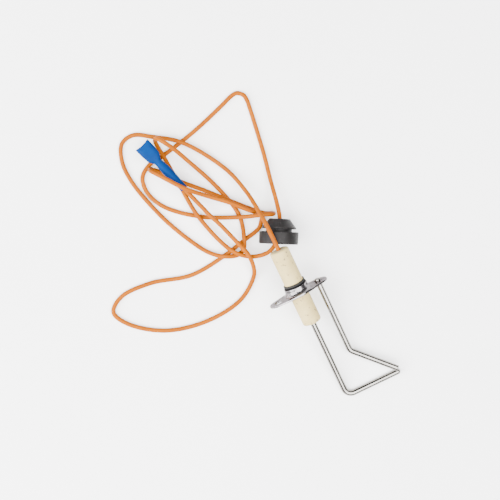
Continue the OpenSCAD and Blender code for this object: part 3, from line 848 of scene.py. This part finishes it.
# The flange's colour is the steel's own light tone with darker streaks mottled in; the streaks are painted
# reflections of a dark surround.
flange_painted_reflection_finish = finish(
    "pressed_steel_painted_reflections", light=(0.25, 0.235, 0.24), dark=(0.13, 0.122, 0.125), speck=(0.05, 0.045, 0.04),
    patch=300, specks=(1300, 0.3), grain=1500, rough=(0.12, 0.3), bump=0.1, depth=0.03,
    stretch=(0.12, 1, 1), turned_to=probe_turn, Metallic=1.0, Specular_Tint=(0.5, 0.48, 0.49, 1))
crimp_finish = finish(
    "plated_steel", light=(0.45, 0.44, 0.42), dark=(0.33, 0.32, 0.30), speck=(0.14, 0.13, 0.12),
    patch=300, specks=(1500, 0.2), grain=2500, rough=(0.25, 0.4), Metallic=1.0)
paint(rod_finish, sensing, earth)
paint(flange_painted_reflection_finish, flange)
paint(crimp_finish, nodes["crimp_ferrule"])

# %% Copper and tinned brass
copper_finish = finish(
    "copper_strands", light=(0.60, 0.22, 0.09), dark=(0.34, 0.11, 0.05), speck=(0.09, 0.04, 0.02),
    patch=900, specks=(2500, 0.3), grain=4000, rough=(0.25, 0.4), bump=0.3, depth=0.05, Metallic=1.0)
brass_finish = finish(
    "tinned_brass", light=(0.52, 0.45, 0.30), dark=(0.38, 0.31, 0.18), speck=(0.16, 0.12, 0.07),
    patch=300, specks=(1500, 0.3), grain=1800, rough=(0.2, 0.35), Metallic=1.0)
paint(copper_finish, nodes["conductor_ends"])
paint(brass_finish, nodes["terminal"])

# %% Rubber
seal_finish = finish(
    "seal_rubber", light=(0.004, 0.004, 0.0045), dark=(0.002, 0.002, 0.002),
    speck=(0.03, 0.027, 0.024), patch=250, specks=(1800, 0.2), grain=2200, rough=(0.5, 0.7),
    bump=0.3, depth=0.03, Specular_IOR_Level=0.05)
ring_finish = finish(
    "ring_nylon", light=(0.022, 0.021, 0.019), dark=(0.006, 0.006, 0.006), speck=(0.08, 0.075, 0.07),
    patch=500, specks=(2200, 0.5), grain=2600, rough=(0.4, 0.6), bump=0.5, depth=0.05,
    Specular_IOR_Level=0.12)
grommet_finish = finish(
    "grommet_rubber", light=(0.012, 0.0105, 0.0108), dark=(0.004, 0.0035, 0.003),
    speck=(0.045, 0.04, 0.04), patch=90, specks=(900, 0.3), grain=1400, rough=(0.40, 0.58),
    bump=0.25, depth=0.05, Specular_IOR_Level=0.12)
paint(seal_finish, seal)
paint(ring_finish, ring)
paint(grommet_finish, grommet)

# %% Vinyl and silicone
boot_finish = finish(
    "blue_vinyl", light=(0.0005, 0.024, 0.115), dark=(0.0005, 0.018, 0.09),
    speck=(0.0003, 0.010, 0.05), patch=160, specks=(1000, 0.25), grain=900, rough=(0.35, 0.55),
    bump=0.25, depth=0.06, Specular_IOR_Level=0.03)
lead_finish = finish(
    "orange_silicone", light=(0.28, 0.072, 0.0003), dark=(0.23, 0.055, 0.0003),
    speck=(0.13, 0.022, 0.0002), patch=110, specks=(1400, 0.2), grain=1200, rough=(0.3, 0.48),
    bump=0.12, depth=0.02, Specular_IOR_Level=0.03)
paint(boot_finish, boot)
paint(lead_finish, lead)
print("materials:", len(bpy.data.materials))


# %% [markdown]
# ## Floor and light
# The object lies on a plain pale floor. A large soft light hangs on the left and another
# overhead, in front of the rods. There is none on the right, and the dark gap there is what
# draws the dark line along each polished rod.

# %% Floor
FLOOR_HALF = 1.5
FLOOR_ROWS = 7
reach = np.linspace(-FLOOR_HALF, FLOOR_HALF, FLOOR_ROWS)
floor_x, floor_y = np.meshgrid(reach, reach, indexing="ij")
floor_grid = np.stack([floor_x, floor_y, np.zeros_like(floor_x)], -1)
row, column = np.meshgrid(range(FLOOR_ROWS - 1), range(FLOOR_ROWS - 1), indexing="ij")
first = row * FLOOR_ROWS + column
cells = np.stack([first, first + FLOOR_ROWS, first + FLOOR_ROWS + 1, first + 1], -1).reshape(-1, 4)
floor_mesh = bpy.data.meshes.new("floor")
floor_mesh.from_pydata(floor_grid.reshape(-1, 3).tolist(), [], cells.tolist())
floor = bpy.data.objects.new("floor", floor_mesh)
bpy.context.scene.collection.objects.link(floor)
floor_finish = finish(
    "pale_floor", light=linear(250, 250, 250), dark=linear(247, 247, 247), speck=linear(244, 244, 244),
    patch=4, specks=(30, 0.1), grain=60, rough=(0.75, 0.85), bump=0.02)
paint(floor_finish, floor)

# %% Lights
def soft_light(name, place, aim, width, height, watts):
    """A rectangular area light at place, turned so that it faces aim."""
    data = bpy.data.lights.new(name, "AREA")
    data.shape = "RECTANGLE"
    data.size, data.size_y, data.energy = width, height, watts
    lamp = bpy.data.objects.new(name, data)
    lamp.location = place
    away = unit(np.subtract(place, aim))
    lamp.rotation_euler = (math.acos(away[2]), 0, math.atan2(away[1], away[0]) + math.pi / 2)
    bpy.context.scene.collection.objects.link(lamp)
    return lamp


middle = (-0.02, 0.05, 0.0)
soft_light("left_box", (-0.8, 0.15, 0.7), middle, 1.2, 1.1, 60)
soft_light("top_box", (0.15, -0.35, 1.3), middle, 1.6, 1.3, 95)
world = bpy.data.worlds.new("Studio")
world.use_nodes = True
background = world.node_tree.nodes["Background"]
background.inputs["Color"].default_value = (1, 1, 1, 1)
background.inputs["Strength"].default_value = 0.25
bpy.context.scene.world = world
